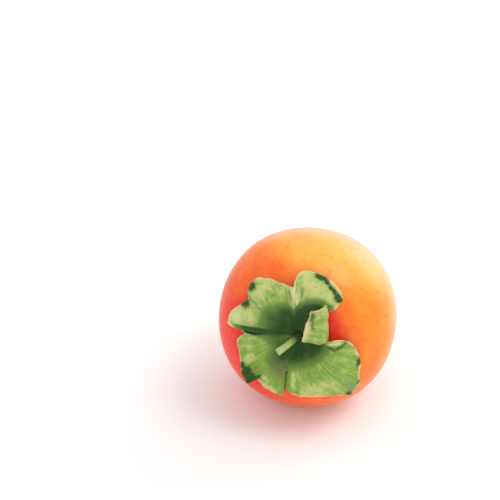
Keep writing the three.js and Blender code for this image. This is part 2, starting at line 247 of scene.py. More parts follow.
class PersimmonStemSettings(bpy.types.PropertyGroup):
    """Sizes and colours of the stub of stem."""

    length: length("Length", "Length of the stub along its bend", 13.5 * MM)
    foot_radius: length("Foot radius", "Radius where it grows from the calyx", 2.2 * MM)
    radius: length("Radius", "Radius along its middle", 1.25 * MM)
    end_radius: length("End radius", "Radius at the cut", 1.5 * MM)
    bearing: angle("Bearing", "The way that it leans, anticlockwise from the right", 214)
    foot_lean: angle("Foot lean", "Lean away from the fruit's axis at the foot", 8)
    end_lean: angle("End lean", "Lean away from the fruit's axis at the cut", 60)
    bark: colour("Bark", "Outside of the stub", paint(156, 186, 96))
    cut: colour("Cut", "The cut end", paint(184, 188, 122))
    shade: colour("Shade", "The foot, down in the cup", paint(44, 78, 34))


class PersimmonStageSettings(bpy.types.PropertyGroup):
    """Floor, lights and camera."""

    floor: colour("Floor", "Colour of the floor", (0.94, 0.94, 0.94))
    key_power: wattage("Key power", "Main light, high on the right", 3.0)
    fill_power: wattage("Fill power", "Soft light from the front, on the left", 0.3)
    rim_power: wattage("Rim power", "Light from behind, on the right", 3.2)
    azimuth: angle("Azimuth", "The way the camera looks, from +Y towards -X", 12.1)
    elevation: angle("Elevation", "How far the camera looks down", 30.7)
    lens: number("Lens", "Focal length in millimetres", 85)
    distance: length("Distance", "From the camera to the middle of the fruit", 0.5055)
    place_x: number("Place across", "The fruit's middle in the picture, from its left edge", 308.0)
    place_y: number("Place down", "The fruit's middle in the picture, from its top edge", 315.8)
    daylight: number("Daylight", "Strength of the even light from all round", 0.9)


def ease(value):
    value = np.clip(value, 0, 1)
    return value * value * (3 - 2 * value)


def soft_max(a, b, width):
    """The larger of a and b, rounded off where they meet."""
    return (a + b + np.hypot(a - b, width)) / 2


def skin_distance(fruit, polar):
    """Distance from the middle of the widest section to the skin."""
    across, along = np.abs(np.sin(polar)), np.cos(polar)
    cone = 1 - fruit.blossom_taper * np.sin(2 * polar) ** 2
    blossom = cone / np.hypot(across / fruit.radius, along / fruit.blossom_length)
    power = fruit.shoulder_power
    square_sum = (across / fruit.radius) ** power + (np.abs(along) / fruit.shoulder_length) ** power
    shoulder = square_sum ** (-1 / power)
    return blossom + (shoulder - blossom) * ease((along / fruit.blend + 1) / 2)


def hollow(fruit, radius):
    return fruit.hollow_depth * np.exp(-((radius / fruit.hollow_radius) ** 3))


def shoulder_height(fruit, radius):
    """Height of the shoulder's skin over the widest section."""
    power = fruit.shoulder_power
    fall = np.maximum(0, 1 - (radius / fruit.radius) ** power) ** (1 / power)
    return fruit.shoulder_length * fall - hollow(fruit, radius)


def skin_points(fruit, polar, turn):
    distance = skin_distance(fruit, polar)
    corners = np.cos(4 * (turn - math.radians(45)))
    radius = distance * np.sin(polar) * (1 + fruit.side_swell * corners * np.sin(polar) ** 2)
    height = distance * np.cos(polar)
    dimple = DIMPLE_DEPTH * np.exp(-((radius / DIMPLE_RADIUS) ** 2))
    point = fruit.point_height * np.exp(-((radius / fruit.point_radius) ** 4))
    height = np.where(height > 0, height - hollow(fruit, radius), height + dimple - point)
    return np.stack([radius * np.cos(turn), radius * np.sin(turn), height], axis=-1)


def laying_matrix(fruit):
    """Turns a piece shaped about the fruit's axis to the way the fruit lies on the floor."""
    polar = np.linspace(0, math.pi, 4001)
    profile = skin_points(fruit, polar, np.full_like(polar, -math.pi / 2))
    y, z = profile[:, 1], profile[:, 2]
    forward = z * math.cos(fruit.rest_tilt) - y * math.sin(fruit.rest_tilt)
    height = y * math.cos(fruit.rest_tilt) + z * math.sin(fruit.rest_tilt)
    floor = height.min() + fruit.flat_depth
    taken = forward[height < floor]
    place = Matrix.Translation((0, (taken[0] + taken[-1]) / 2, -floor))
    return place @ Matrix.Rotation(math.pi / 2 - fruit.rest_tilt, 4, "X")


def lay_down(points, matrix):
    turn = np.array(matrix.to_3x3())
    return points @ turn.T + np.array(matrix.translation)


def read_points(piece):
    flat = np.empty(len(piece.data.vertices) * 3)
    piece.data.vertices.foreach_get("co", flat)
    return flat.reshape(-1, 3)


def write_points(piece, points):
    piece.data.vertices.foreach_set("co", points.ravel())
    piece.data.update()


def tidy_mesh(piece):
    """Closes the active piece's poles and seams, then points every face outwards."""
    bpy.ops.object.mode_set(mode="EDIT")
    bpy.ops.mesh.select_all(action="SELECT")
    bpy.ops.mesh.remove_doubles(threshold=MERGE_DISTANCE)
    bpy.ops.mesh.normals_make_consistent(inside=False)
    bpy.ops.object.mode_set(mode="OBJECT")
    bpy.ops.object.shade_smooth()


def name_piece(piece, name, material):
    piece.name = name
    piece.data.name = name
    piece.data.materials.clear()
    piece.data.materials.append(material)


def add_attribute(piece, name, values):
    attribute = piece.data.attributes.new(name, "FLOAT", "POINT")
    attribute.data.foreach_set("value", np.asarray(values, dtype=np.float32))


class Paintbox:
    """A material under construction: adds nodes by name, joins them and keeps the body colour."""

    def __init__(self, name):
        self.material = bpy.data.materials.new(name)
        self.material.use_nodes = True
        self.tree = self.material.node_tree
        self.shader = self.tree.nodes["Principled BSDF"]
        self.body = (1, 1, 1)

    def node(self, kind, inputs=(), **settings):
        node = self.tree.nodes.new("ShaderNode" + kind)
        for name, value in settings.items():
            setattr(node, name, value)
        for name, value in dict(inputs).items():
            self.put(node.inputs[name], value)
        return node

    def put(self, socket, value):
        if isinstance(value, bpy.types.NodeSocket):
            self.tree.links.new(value, socket)
        elif socket.type == "RGBA":
            socket.default_value = (*value[:3], 1)
        else:
            socket.default_value = value

    def lay(self, colour, *shares):
        """Lays a colour over the body, as strongly as the product of the shares."""
        share = shares[0]
        for other in shares[1:]:
            share = self.sums("MULTIPLY", share, other)
        node = self.node("Mix", data_type="RGBA", clamp_result=True)
        factor, under, over = node.inputs[0], node.inputs[6], node.inputs[7]
        self.put(factor, share)
        self.put(under, self.body)
        self.put(over, colour)
        self.body = node.outputs[2]

    def sums(self, operation, *values):
        node = self.node("Math", operation=operation)
        for socket, value in zip(node.inputs, values):
            self.put(socket, value)
        return node.outputs[0]

    def spread(self, value, low, high, to_low=0.0, to_high=1.0):
        """Passes value smoothly from to_low at low to to_high at high."""
        node = self.node("MapRange", interpolation_type="SMOOTHSTEP")
        for socket, number_in in zip(node.inputs, (value, low, high, to_low, to_high)):
            self.put(socket, number_in)
        return node.outputs[0]

    def noise(self, coordinates, scale, detail=3.0, roughness=0.5, distortion=0.0):
        inputs = {
            "Vector": coordinates,
            "Scale": scale,
            "Detail": detail,
            "Roughness": roughness,
            "Distortion": distortion,
        }
        return self.node("TexNoise", inputs).outputs["Fac"]

    def attribute(self, name):
        return self.node("Attribute", attribute_name=name).outputs["Fac"]

    def bump(self, height, distance, strength, under=None):
        inputs = {"Height": height, "Distance": distance, "Strength": strength}
        if under is not None:
            inputs["Normal"] = under
        return self.node("Bump", inputs).outputs["Normal"]

    def finish(self, values):
        """Gives the shader the body colour and its other values, by the names of its sockets."""
        for name, value in {"Base Color": self.body, **values}.items():
            self.put(self.shader.inputs[name], value)
        return self.material


def skin_material(fruit, matrix):
    """Skin painted about the fruit's own axis, in units of its radius."""
    box = Paintbox("persimmon_skin")
    to_axis = matrix.inverted()
    own = box.node(
        "Mapping",
        {
            "Vector": box.node("TexCoord").outputs["Object"],
            "Location": Vector(to_axis.translation) / fruit.radius,
            "Rotation": to_axis.to_euler(),
            "Scale": (1 / fruit.radius,) * 3,
        },
    ).outputs[0]
    right, up, out = box.node("SeparateXYZ", {"Vector": own}).outputs
    drift = box.sums("MULTIPLY_ADD", box.noise(own, 1.4), 0.9, -0.45)
    mottle = box.noise(own, 5, detail=4, roughness=0.6)
    cloudlets = box.noise(own, 13, detail=5, roughness=0.62)
    scars = box.noise(own, 34, detail=1, roughness=0.4)
    fine = box.noise(own, 60, detail=4, roughness=0.6)

    # Painted light: yellower orange towards the upper right, the side the key lamp lights.
    lit = box.sums("MULTIPLY_ADD", right, 0.62, box.sums("MULTIPLY_ADD", up, 0.6, drift))
    box.body = fruit.orange
    box.lay(fruit.amber_and_light, box.spread(lit, -0.1, 0.75))
    box.lay(fruit.amber_and_light, box.spread(mottle, 0.4, 0.75, 0, 0.3))
    box.lay(fruit.blush_and_shade, box.spread(mottle, 0.6, 0.25, 0, 0.2))

    # Painted highlight: pale waxy colour on top. Painted reflection: palest in a girdle round the
    # widest section, on the upper right.
    top = box.sums("MULTIPLY_ADD", right, 0.35, box.sums("MULTIPLY_ADD", up, 0.8, drift))
    box.lay(fruit.bloom_and_highlight, box.spread(top, 0.3, 1.1, 0, 0.85))
    upper_right = box.sums("MULTIPLY_ADD", right, 0.7, box.sums("MULTIPLY", up, 0.7))
    box.lay(
        fruit.painted_rim_reflection,
        box.spread(out, 0.34, -0.05, 0, 0.45),
        box.spread(out, -0.6, -0.1),
        box.spread(upper_right, -0.1, 0.5),
    )

    # Painted shade: red towards the lower left, away from the lamps.
    shaded = box.sums("MULTIPLY_ADD", box.sums("MAXIMUM", up, -0.2), -0.95, drift)
    shaded = box.sums("MULTIPLY_ADD", right, -0.85, shaded)
    shaded = box.sums("MULTIPLY_ADD", out, 0.55, shaded)
    box.lay(fruit.blush_and_shade, box.spread(shaded, 0.28, 0.88, 0, 0.94))

    # A collar of red round the calyx, widest on the left: partly the fruit's own red, partly painted
    # shade beside the calyx.
    reach = box.sums(
        "SQRT", box.sums("MULTIPLY_ADD", right, right, box.sums("MULTIPLY", up, up))
    )
    above = box.sums("MAXIMUM", up, 0.0)
    below = box.sums("MAXIMUM", box.sums("MULTIPLY", up, -1.0), 0.0)
    stretch = box.sums("MULTIPLY_ADD", above, 0.3, box.sums("MULTIPLY_ADD", below, 0.25, 1.0))
    stretch = box.sums("MULTIPLY_ADD", right, 0.35, stretch)
    lopsided = box.sums("MULTIPLY", reach, stretch)
    collar = box.sums("MULTIPLY_ADD", box.noise(own, 2.6), 0.24, lopsided)
    calyx_end = box.spread(out, 0.1, 0.5)
    box.lay(fruit.blush_and_shade, box.spread(collar, 1.12, 0.85, 0, 0.24), calyx_end)
    box.lay(fruit.blush_and_shade, box.spread(collar, 0.84, 0.62), calyx_end)

    # Fine mottling, small scars and the dried point.
    box.lay(fruit.amber_and_light, box.spread(cloudlets, 0.45, 0.85, 0, 0.24))
    box.lay(fruit.blush_and_shade, box.spread(cloudlets, 0.5, 0.28, 0, 0.32))
    box.lay(fruit.bloom_and_highlight, box.spread(fine, 0.58, 0.72, 0, 0.16))
    box.lay(fruit.speck, box.spread(scars, 0.74, 0.8, 0, 0.45))
    tip = box.sums("MULTIPLY_ADD", reach, 6.0, out)
    box.lay(fruit.speck, box.spread(tip, -0.5, -0.95, 0, 0.5))
    box.lay(fruit.point, box.spread(tip, -0.9, -0.97))

    dents = box.bump(box.noise(own, 5, detail=2), 0.4 * MM, 0.6)
    return box.finish(
        {
            "Roughness": box.spread(fine, 0.2, 0.8, 0.3, 0.44),
            "Normal": box.bump(fine, 0.05 * MM, 0.35, dents),
            "Specular IOR Level": 0.35,
            "Subsurface Weight": 0.15,
            "Subsurface Radius": (1.0, 0.3, 0.1),
            "Subsurface Scale": 4 * MM,
            "Coat Weight": 0.08,
            "Coat Roughness": 0.24,
            "Sheen Weight": 0.4,
            "Sheen Roughness": 0.12,
            "Sheen Tint": (1, 0.92, 0.85),
        }
    )


class PERSIMMON_OT_fruit(bpy.types.Operator):
    """Add the fruit, in place of the plain solid"""

    bl_idname = "persimmon.fruit"
    bl_label = "Fruit"

    def execute(self, context):
        fruit = context.scene.persimmon_fruit
        matrix = laying_matrix(fruit)
        bpy.ops.object.select_all(action="DESELECT")
        bpy.ops.mesh.primitive_uv_sphere_add(segments=288, ring_count=150, radius=1)
        piece = context.object
        points = read_points(piece)
        polar = np.arccos(np.clip(points[:, 2], -1, 1))
        turn = np.arctan2(points[:, 1], points[:, 0])
        # The rings crowd together at the blossom end, where the dried point needs them.
        from_tip = math.pi - polar
        crowding = TIP_CROWDING * np.exp(-((from_tip / TIP_ANGLE) ** 2))
        polar = math.pi - from_tip * (1 - crowding)
        points = lay_down(skin_points(fruit, polar, turn) * INSET, matrix)
        points[:, 2] = soft_max(points[:, 2], 0, FLOOR_EDGE)
        write_points(piece, points)
        tidy_mesh(piece)
        name_piece(piece, "persimmon_fruit", skin_material(fruit, matrix))
        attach(piece, "root")
        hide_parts("fruit")
        return {"FINISHED"}


def rib_at(place):
    """The ribs at places in the list, which may lie between two ribs."""
    first = np.floor(place).astype(int)
    share = (place - first)[:, None]

    def rib(step):
        index = first + step
        ribs = RIBS[index % len(RIBS)].copy()
        ribs[:, 0] += 360 * (index // len(RIBS))
        return ribs

    before, start, end, after = (rib(step) for step in (-1, 0, 1, 2))
    change = end - start
    leaving, arriving = even_slope(start - before, change), even_slope(change, after - end)
    pull = leaving - change + share * (2 * change - leaving - arriving)
    return start + share * (change + (1 - share) * pull)


def even_slope(before, after):
    """Slope at a rib between two changes: level at a high or low one, so no curve overshoots."""
    agree = before * after > 0
    total = np.where(agree, before + after, 1)
    return np.where(agree, 2 * before * after / total, 0)


def uneven(bearing, count, seed):
    """A broken line round the axis, from 0 to 1, that turns at count places."""
    levels = np.random.default_rng(seed).random(count)
    places = np.arange(count + 1) * 360 / count
    return np.interp(bearing % 360, places, np.append(levels, levels[0]))


def sheet_grid(fruit, calyx, places, step_count):
    """Points halfway through the calyx's sheet: a row for each place, from middle to margin."""
    ribs = rib_at(places)
    broad_nicks = uneven(ribs[:, 0], count=97, seed=3) ** 2
    nicks = 0.6 * broad_nicks + 0.4 * uneven(ribs[:, 0], count=251, seed=5)
    ribs[:, 3] -= nicks * calyx.raggedness / MM
    bearing, lean = np.radians(ribs[:, 0]), np.radians(ribs[:, 2])
    wall, reach = ribs[:, 1] * MM, ribs[:, 3] * MM

    # Each rib is walked in moves that are finer than its steps.
    finer = 6
    shares = (np.arange(step_count * finer) + 0.5) / (step_count * finer)
    along = shares[None, :] * (wall + reach)[:, None]
    rise = ease((along - calyx.disc_radius) / (calyx.wall_start - calyx.disc_radius))
    wall_slope = np.full((len(ribs), 1), calyx.wall_slope)
    slopes = np.concatenate([wall_slope, np.radians(ribs[:, 4:])], 1)
    place = np.clip((along - wall[:, None]) / reach[:, None], 0, 1) * QUARTERS
    quarter = np.minimum(place.astype(int), QUARTERS - 1)
    low = np.take_along_axis(slopes, quarter, 1)
    high = np.take_along_axis(slopes, quarter + 1, 1)
    in_wall = along < wall[:, None]
    slope = np.where(in_wall, calyx.wall_slope * rise, low + (high - low) * (place - quarter))
    heading = np.where(in_wall, bearing[:, None], (bearing + lean)[:, None])
    step = ((wall + reach) / (step_count * finer))[:, None]
    moves = np.stack(
        [
            step * np.cos(slope) * np.cos(heading),
            step * np.cos(slope) * np.sin(heading),
            step * np.sin(slope),
        ],
        axis=-1,
    )
    path = np.cumsum(moves, axis=1)[:, finer - 1 :: finer]
    points = np.concatenate([np.zeros((len(ribs), 1, 3)), path], axis=1)

    # The margin is wavy, and the sheet keeps clear of the skin.
    share = np.linspace(0, 1, step_count + 1)[None, :]
    bottom = shoulder_height(fruit, 0.0) + calyx.gap + calyx.thickness / 2
    waves = np.sin(17 * bearing) * np.sin(3 * bearing + 1)
    curl = uneven(ribs[:, 0], count=61, seed=8) - 0.5
    height = points[:, :, 2] + bottom + calyx.ripple * waves[:, None] * share**3
    height += calyx.ripple * curl[:, None] * share**8
    skin = shoulder_height(fruit, np.hypot(points[:, :, 0], points[:, :, 1]))
    lowest = skin + calyx.gap + half_thickness(calyx, share) + SHEET_CLEARANCE
    points[:, :, 2] = soft_max(height, lowest, SHEET_ROUNDING)
    return points


def half_thickness(calyx, share):
    return (calyx.thickness + (calyx.margin_thickness - calyx.thickness) * ease(share)) / 2


def leaf_material(calyx):
    """Leaf with veins that fan out from the middle, and the marks kept on the mesh's points."""
    box = Paintbox("calyx_leaf")
    place = box.node("TexCoord").outputs["Object"]
    flow = box.node("UVMap", uv_map="flow").outputs[0]

    def fan(across, along):
        """Coordinates that fan out with the veins: so many to the turn and so many outwards."""
        return box.node("Mapping", {"Vector": flow, "Scale": (across, along, 1.0)}).outputs[0]

    clouds = box.noise(place, 210)
    flecks = box.noise(place, 240)
    patches = box.noise(place, 380, detail=4, roughness=0.6)
    spots = box.noise(place, 500)
    blotches = box.noise(place, 620, detail=4, roughness=0.65)
    bands = box.noise(fan(46, 1.6), 1.0, distortion=0.4)
    streaks = box.noise(fan(170, 3.2), 1.0, detail=4)
    folds = box.noise(fan(22, 5), 1.0, detail=4)
    cells = box.node(
        "TexVoronoi", {"Vector": fan(84, 13), "Scale": 1.0}, feature="DISTANCE_TO_EDGE"
    )
    veins = box.spread(cells.outputs["Distance"], 0.09, 0.0)

    # Green lobes, painted paler and yellower in the light.
    light = box.attribute("light")
    tone = box.sums("MULTIPLY_ADD", bands, 0.6, box.sums("MULTIPLY", clouds, 0.5))
    tone = box.sums("MULTIPLY_ADD", light, 0.5, tone)
    lit_share = box.spread(light, -0.35, 0.15, 0.15, 1.0)
    box.body = calyx.green
    box.lay(calyx.pale, box.spread(tone, 0.42, 0.7))
    box.lay(calyx.straw, lit_share, box.spread(clouds, 0.5, 0.68, 0, 0.6))
    box.lay(calyx.straw, lit_share, box.spread(blotches, 0.52, 0.66, 0, 0.6))
    box.lay(calyx.fresh, box.spread(blotches, 0.48, 0.34, 0, 0.5))
    box.lay(calyx.dry, lit_share, box.spread(patches, 0.58, 0.68, 0, 0.6))
    box.lay(calyx.pale, box.spread(streaks, 0.5, 0.7, 0, 0.5))
    box.lay(calyx.green, box.spread(streaks, 0.46, 0.3, 0, 0.3))
    box.lay(calyx.pale, veins, 0.15)
    box.lay(calyx.pale, box.attribute("under"), 0.12)
    box.lay(calyx.pale, box.attribute("ridge"), box.spread(streaks, 0.3, 0.6, 0.25, 0.6))

    # Painted shade in the cup: wall green, and deep green where it is darkest.
    shade_in_cup = box.sums("MULTIPLY_ADD", folds, 0.5, box.attribute("cup"))
    box.lay(calyx.wall, box.spread(shade_in_cup, 0.3, 0.75))
    box.lay(calyx.deep, box.spread(shade_in_cup, 0.75, 1.25))

    # Pale strips, dried margin, dried-out and russet patches, painted shade in the creases, and
    # shrivelled tips with painted shadow.
    box.lay(calyx.cream, box.spread(light, 0.5, 1.7, 0, 0.85))
    box.lay(calyx.dry, box.attribute("rim"), box.spread(flecks, 0.38, 0.58, 0.15, 0.95))
    box.lay(calyx.grey, box.attribute("grey"), box.spread(spots, 0.3, 0.6, 0.5, 1))
    box.lay(calyx.russet, box.attribute("browned"), box.spread(blotches, 0.3, 0.55, 0.5, 1))
    # Painted shade in the creases: the slit in the fold and the shadow line under the rolled edge.
    box.lay(calyx.deep, box.attribute("crease"), 0.85)
    # Dark green for shrivelled tips and for painted shadow.
    withered_and_shadow = box.sums("MULTIPLY_ADD", spots, 0.8, box.attribute("withered_and_shadow"))
    box.lay(calyx.dark_withered_and_shadow, box.spread(withered_and_shadow, 0.5, 1.2, 0, 0.97))

    relief = box.bump(streaks, 0.25 * MM, 0.6)
    relief = box.bump(veins, 0.12 * MM, 0.6, relief)
    return box.finish(
        {
            "Roughness": box.spread(blotches, 0.3, 0.7, 0.58, 0.8),
            "Normal": box.bump(blotches, 0.12 * MM, 0.5, relief),
            "Specular IOR Level": 0.3,
            "Subsurface Weight": 0.05,
            "Subsurface Scale": 1 * MM,
        }
    )


# Marks on the calyx, in degrees and millimetres: bearing, distance out, how far the mark spreads in
# each, and how strong it is.
# Dark marks: shrivelled tips, and painted shadow along curled margins, beside the ridge in the top
# cleft and along the bottom cleft.
WITHERED_AND_SHADOW = [
    (79.1, 31.4, 0.8, 1.8, 1.2),
    (79.9, 31.2, 0.6, 1.5, 1.1),
    (80.6, 30.8, 0.5, 1.1, 1.0),
    (81.2, 30.6, 0.5, 1.0, 1.0),
    (81.9, 31.2, 0.5, 1.1, 1.0),
    (83, 31.8, 1.3, 1.5, 1.0),
    (86.6, 22.8, 1.4, 3.6, 0.5),
    (98.2, 22, 1.0, 4, 0.5),
    (98.8, 18.5, 0.9, 3, 0.45),
    (134.5, 31.8, 5, 2.2, 1.1),
    (150.5, 28.4, 4.5, 2.2, 1.1),
    (211, 28.9, 3, 1.4, 1.1),
    (217, 28.4, 5, 2.6, 1.2),
    (223, 28.6, 5, 3.4, 1.2),
    (228, 25.8, 4, 2, 0.7),
    (253, 15, 5, 2, 0.5),
    (260, 17.6, 1.8, 2, 0.8),
    (257.4, 21.5, 1.3, 7, 1.05),
    (317, 34.4, 3, 1.3, 0.7),
    (330, 34.2, 3, 0.9, 0.55),
    (343.5, 30.4, 3, 1.2, 0.9),
]
GREYED = [
    (324, 33, 6, 3, 1.0),
    (141, 24, 6, 3, 0.35),
    (110, 25, 5, 2, 0.3),
]
BROWNED = [
    (248, 17.6, 10, 3.6, 1.0),
    (236, 15.6, 7, 2.4, 0.8),
    (261, 17.4, 2.4, 2, 0.8),
    (252, 20, 4, 4, 0.5),
    (186, 11.4, 9, 2.5, 0.4),
    (219, 24.5, 8, 2.5, 0.4),
]
LIGHT = [
    (95, 24.8, 2.8, 3, 2.2),
    (92.6, 21.5, 3.2, 2.4, 2.4),
    (90.4, 19.4, 2.8, 1.6, 2.0),
    (30, 29.4, 24, 1.2, 1.7),
    (81, 32.9, 1.1, 0.7, 2.0),
    (77, 28.5, 1.5, 2.5, 1.2),
    (76.5, 25, 3, 4, 0.8),
    (163, 29, 9, 5, 0.8),
    (125, 30, 14, 3, 0.6),
    (207, 24, 5, 3, 1.0),
    (243, 27.5, 6, 1.6, 1.1),
    (237, 24.8, 5, 1.4, 0.8),
    (270, 20.3, 3, 4, 1.1),
    (287, 27, 14, 5, 0.6),
    (310, 27, 8, 4, 0.3),
    (355.3, 18.6, 1.6, 5, 1.9),
]
SLIT_IN_FOLD = [(38, 27.2), (45, 28), (51, 28.8), (56, 29.9), (60, 30.9), (63.5, 31.8), (67, 32.7)]
UNDER_ROLLED_EDGE = [(350.8, 16.6), (348.7, 19.2), (350.5, 20.8), (353, 23), (355, 24.6)]
# Creases: millimetres to a degree of bearing there, half width, strength, and places along each.
CREASES = [
    (0.17, 0.6, 0.9, SLIT_IN_FOLD),
    (0.35, 0.5, 1.0, UNDER_ROLLED_EDGE),
]
CREASE_PRESS = 0.45  # how much of the sheet's thickness a full crease presses in
# How pale the lobes are by bearing: 0 is half way, above it paler, below it greener.
LOBE_TONE = [
    (0, -0.15),
    (60, -0.15),
    (76, 0.05),
    (90, 0.05),
    (120, -0.1),
    (150, 0.1),
    (161, 0.35),
    (176, -0.1),
    (200, -0.3),
    (240, -0.45),
    (265, -0.35),
    (290, -0.15),
    (320, -0.25),
    (345, -0.2),
    (360, -0.1),
]
# The painted shade of the cup, by bearing, cast also under the fold and into the left cleft: how far
# out it reaches, and how dark it is.
CUP_DARK = [
    (0, 17.5, 1.0),
    (30, 23, 1.0),
    (65, 20, 1.0),
    (75, 29, 1.2),
    (78.5, 28, 1.2),
    (80.5, 26, 1.2),
    (82, 23.5, 1.1),
    (85, 21, 1.0),
    (90, 19.5, 1.0),
    (94, 18, 0.95),
    (97, 17, 0.9),
    (103, 19.5, 0.95),
    (114, 20.5, 0.95),
    (127, 21.5, 0.9),
    (140, 21.5, 0.88),
    (151, 21.5, 0.85),
    (160, 21, 0.85),
    (163.5, 20, 0.85),
    (165.5, 23, 0.9),
    (167, 30, 1.1),
    (173.5, 30, 1.1),
    (176, 24, 0.9),
    (180, 19, 0.75),
    (190, 16.5, 0.65),
    (207, 15.5, 0.65),
    (220, 19, 0.72),
    (233, 19.5, 0.82),
    (250, 17.5, 0.9),
    (285, 15, 0.95),
    (310, 16, 0.9),
    (327, 17, 0.9),
    (345, 17.5, 1.0),
    (360, 17.5, 1.0),
]


def marks(table, bearing, out):
    """Strength at each point of the marks in a table."""
    strength = np.zeros_like(out)
    for at, at_out, wide, deep, full in table:
        aside = (bearing - at + 180) % 360 - 180
        spot = np.exp(-((aside / wide) ** 2) - ((out - at_out) / deep) ** 2)
        strength = np.maximum(strength, full * spot)
    return strength


def crease_strength(crease, bearing, out):
    """How close each point is to a crease: 1 on it, passing to 0 beside it."""
    turn_length, half_width, strength, places = crease
    turns, outs = np.array(places).T
    nearest = np.full(out.shape, np.inf)
    for place in np.linspace(0, len(places) - 1, 12 * len(places)):
        turn, along = (np.interp(place, np.arange(len(places)), row) for row in (turns, outs))
        nearest = np.minimum(nearest, np.hypot((bearing - turn) * turn_length, out - along))
    return strength * np.exp(-((nearest / half_width) ** 2))


def cup_dark(bearing, out, upper):
    """How much painted shade each point of the cup gets; the underside gets it only where it shows
    by the fold.
    """
    turns, reaches, depths = zip(*CUP_DARK)
    reach, depth = np.interp(bearing, turns, reaches), np.interp(bearing, turns, depths)
    first_bearing, last_bearing, farthest_out = 69, 84, 25
    by_fold = (bearing > first_bearing) & (bearing < last_bearing) & (out < farthest_out)
    dark = (upper | by_fold) * depth
    return dark * (1 - ease((out - reach + CUP_FADE_LEAD) / CUP_FADE))


class PERSIMMON_OT_calyx(bpy.types.Operator):
    """Add the calyx, in place of the plain solid"""

    bl_idname = "persimmon.calyx"
    bl_label = "Calyx"

    def execute(self, context):
        fruit, calyx = context.scene.persimmon_fruit, context.scene.persimmon_calyx
        column_count, row_count = len(RIBS) * COLUMNS_PER_RIB, 2 * STEPS_TO_MARGIN + 2
        bpy.ops.object.select_all(action="DESELECT")
        bpy.ops.mesh.primitive_grid_add(
            x_subdivisions=column_count, y_subdivisions=row_count, size=1
        )
        piece = context.object
        points = read_points(piece)
        column = np.rint((points[:, 0] + 0.5) * column_count).astype(int)
        row = np.rint((points[:, 1] + 0.5) * row_count).astype(int)
        places = np.arange(column_count) / COLUMNS_PER_RIB
        middle = sheet_grid(fruit, calyx, places, STEPS_TO_MARGIN)
        ribs = rib_at(places)
        rib_lengths = ribs[:, 1] + ribs[:, 3]
        shares = np.linspace(0, 1, STEPS_TO_MARGIN + 1)
        out = shares[None, :] * rib_lengths[:, None]
        bearing = np.repeat(ribs[:, :1], STEPS_TO_MARGIN + 1, axis=1)
        turn = np.radians(bearing)

        # Low relief: shallow folds and veins on top, from the cup's wall to just short of the
        # margin, and creases pressed in from both faces.
        fade = ease((shares[None, :] - (1 - RELIEF_FADE)) / RELIEF_FADE)
        outer = ease((out - RELIEF_START) / RELIEF_RISE) * (1 - fade)
        folds = np.sin(turn * FOLD_COUNT + 3 * np.sin(turn * 4) + out * 0.25)
        ridges = (1 - np.abs(np.sin(turn * VEIN_COUNT / 2 + 0.06 * out))) ** 4
        lift = outer * (calyx.pucker * (folds - 1) / 2 + calyx.vein * ridges)
        creased = np.max([crease_strength(crease, bearing, out) for crease in CREASES], axis=0)

        # Each column runs out along the top, round the margin and back underneath.
        along = np.gradient(middle, axis=1)
        around = np.roll(middle, -1, 0) - np.roll(middle, 1, 0)
        normal = np.cross(along, around)
        normal[:, 0] = (0, 0, 1)
        normal /= np.linalg.norm(normal, axis=2, keepdims=True)
        onward = along[:, -1] / np.linalg.norm(along[:, -1], axis=1, keepdims=True)
        half = half_thickness(calyx, shares)[None, :, None]
        pressed = half * (1 - CREASE_PRESS * creased[..., None])
        top, bottom = middle + normal * (pressed + lift[..., None]), middle - normal * pressed
        rim = (middle[:, -1] + onward * half[0, -1])[:, None]
        rings = np.concatenate([top, rim, bottom[:, ::-1]], axis=1)
        here = column % column_count
        write_points(piece, lay_down(rings[here, row], laying_matrix(fruit)))

        # Where each point lies on the sheet, for the material.
        step = np.clip(np.minimum(row, row_count - row), 0, STEPS_TO_MARGIN)
        bearing, out = bearing[here, step] % 360, out[here, step]
        upper = row <= STEPS_TO_MARGIN
        from_margin = rib_lengths[here] - out
        add_attribute(piece, "under", ~upper)
        add_attribute(piece, "rim", 1 - ease((from_margin - RIM_START) / RIM_FADE))
        add_attribute(piece, "ridge", upper * (outer * ridges)[here, step])
        add_attribute(piece, "crease", creased[here, step])
        add_attribute(piece, "cup", cup_dark(bearing, out, upper))
        add_attribute(piece, "withered_and_shadow", marks(WITHERED_AND_SHADOW, bearing, out))
        add_attribute(piece, "browned", marks(BROWNED, bearing, out))
        add_attribute(piece, "grey", marks(GREYED, bearing, out))
        tone = np.interp(bearing, *zip(*LOBE_TONE))
        add_attribute(piece, "light", marks(LIGHT, bearing, out) + tone)
        seam = column == column_count
        flow = np.stack([ribs[here, 0] / 360 + seam, out / FLOW_LENGTH], 1)
        corners = np.empty(len(piece.data.loops), dtype=int)
        piece.data.loops.foreach_get("vertex_index", corners)
        piece.data.uv_layers[0].name = "flow"
        piece.data.uv_layers[0].data.foreach_set("uv", flow[corners].ravel())
        tidy_mesh(piece)
        name_piece(piece, "persimmon_calyx", leaf_material(calyx))
        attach(piece, "root")
        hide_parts("calyx")
        return {"FINISHED"}


def stem_material(stem):
    box = Paintbox("stem_bark")
    grain = box.noise(box.node("TexCoord").outputs["Object"], 700, detail=4)
    box.body = stem.bark
    box.lay(stem.cut, box.spread(grain, 0.3, 0.7))
    box.lay(stem.cut, box.attribute("cut"))
    box.lay(stem.shade, box.attribute("foot"))
    return box.finish({"Roughness": 0.75, "Normal": box.bump(grain, 0.1 * MM, 0.6)})


